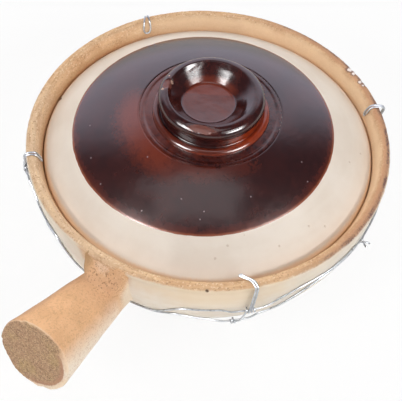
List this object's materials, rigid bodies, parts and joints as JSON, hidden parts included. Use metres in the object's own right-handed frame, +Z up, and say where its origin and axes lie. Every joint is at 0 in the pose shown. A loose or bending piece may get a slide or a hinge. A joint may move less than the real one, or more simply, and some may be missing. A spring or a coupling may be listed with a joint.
{
  "type": "stew_pot",
  "caption": "Wire-bound clay stew pot with a stub handle and a loose domed lid, half glazed, with a dished knob.",
  "frame": {"origin": "middle of the flat base, on the pot's axis", "axes": "+Z up along the pot's axis, +X out along the handle"},
  "size_m": [0.2646, 0.2043, 0.1101],
  "materials": {
    "clay": "matt",
    "cream_clay": "matt",
    "glaze": "gloss",
    "wire": "satin"
  },
  "bodies": {
    "pot": {"pot_body": "clay", "pot_glaze": "glaze", "handle": "clay", "upper_belt": "wire", "lower_belt": "wire", "rim_hook_front": "wire", "rim_hook_right": "wire", "rim_hook_back": "wire", "rim_hook_left": "wire"},
    "lid": {"lid": "cream_clay", "lid_glaze": "glaze", "lid_knob": "glaze"}
  },
  "joints": [
    {"name": "lid_lift", "type": "slide", "parent": "pot", "child": "lid", "axis": [0, 0, 1], "range_m": [0, 0.12]}
  ]
}
